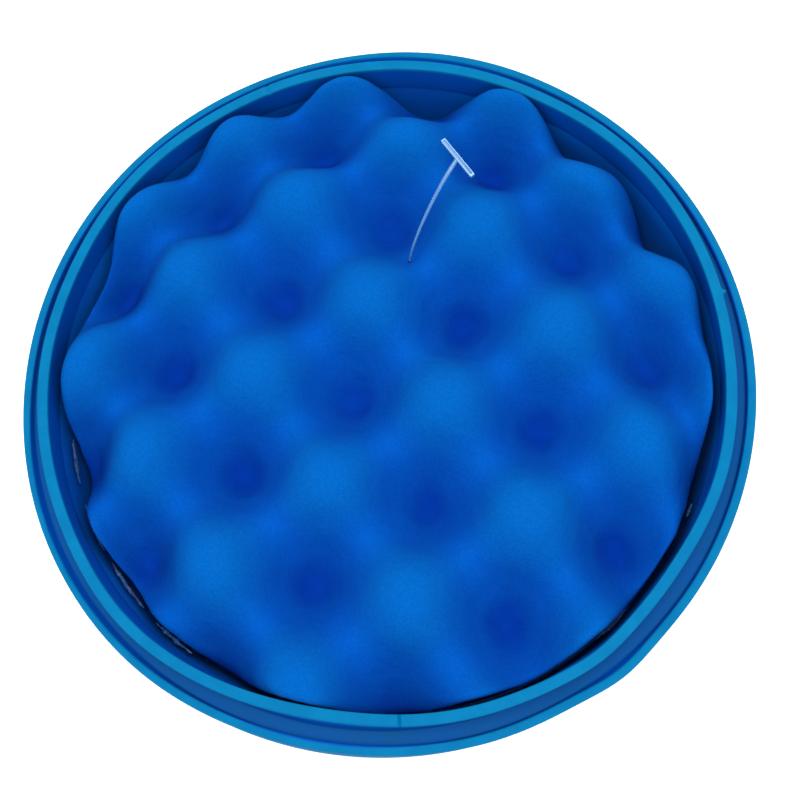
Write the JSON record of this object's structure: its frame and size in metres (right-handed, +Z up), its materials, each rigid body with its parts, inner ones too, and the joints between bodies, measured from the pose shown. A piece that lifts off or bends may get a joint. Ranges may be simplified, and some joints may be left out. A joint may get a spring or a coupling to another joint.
{
  "type": "round sponge filter",
  "caption": "Round washable filter: a stiff cup with a soft double-lipped rim seal, holding a convoluted foam pad over a felt disc and a support grid, with a nylon tag pin through the foam.",
  "frame": {"origin": "middle of the cup's base ring, on the surface the filter stands on", "axes": "+Z up through the middle of the filter, towards the convoluted face of the foam; +X is across the filter"},
  "size_m": [0.15, 0.15, 0.0425],
  "materials": {
    "frame_plastic": "moulded satin",
    "grid_plastic": "moulded satin",
    "seal_rubber": "soft satin",
    "felt": "needled non-woven",
    "foam": "open-cell foam",
    "clear_nylon": "translucent",
    "hot_melt": "translucent, hardened in strings"
  },
  "bodies": {
    "filter": {"frame_cup": "frame_plastic", "support_grid": "grid_plastic", "rim_seal": "seal_rubber", "felt_disc": "felt", "foam_pad": "foam", "glue_dab_1": "hot_melt", "glue_dab_2": "hot_melt", "glue_dab_3": "hot_melt", "glue_dab_4": "hot_melt", "glue_dab_5": "hot_melt", "glue_dab_6": "hot_melt", "glue_dab_7": "hot_melt"},
    "pin": {"tag_pin": "clear_nylon"}
  },
  "joints": [
    {"name": "tag_pin_swivel", "type": "hinge", "parent": "filter", "child": "pin", "pos_m": [0.0056, 0.0263, 0], "axis": [0, 0, 1], "continuous": true}
  ]
}
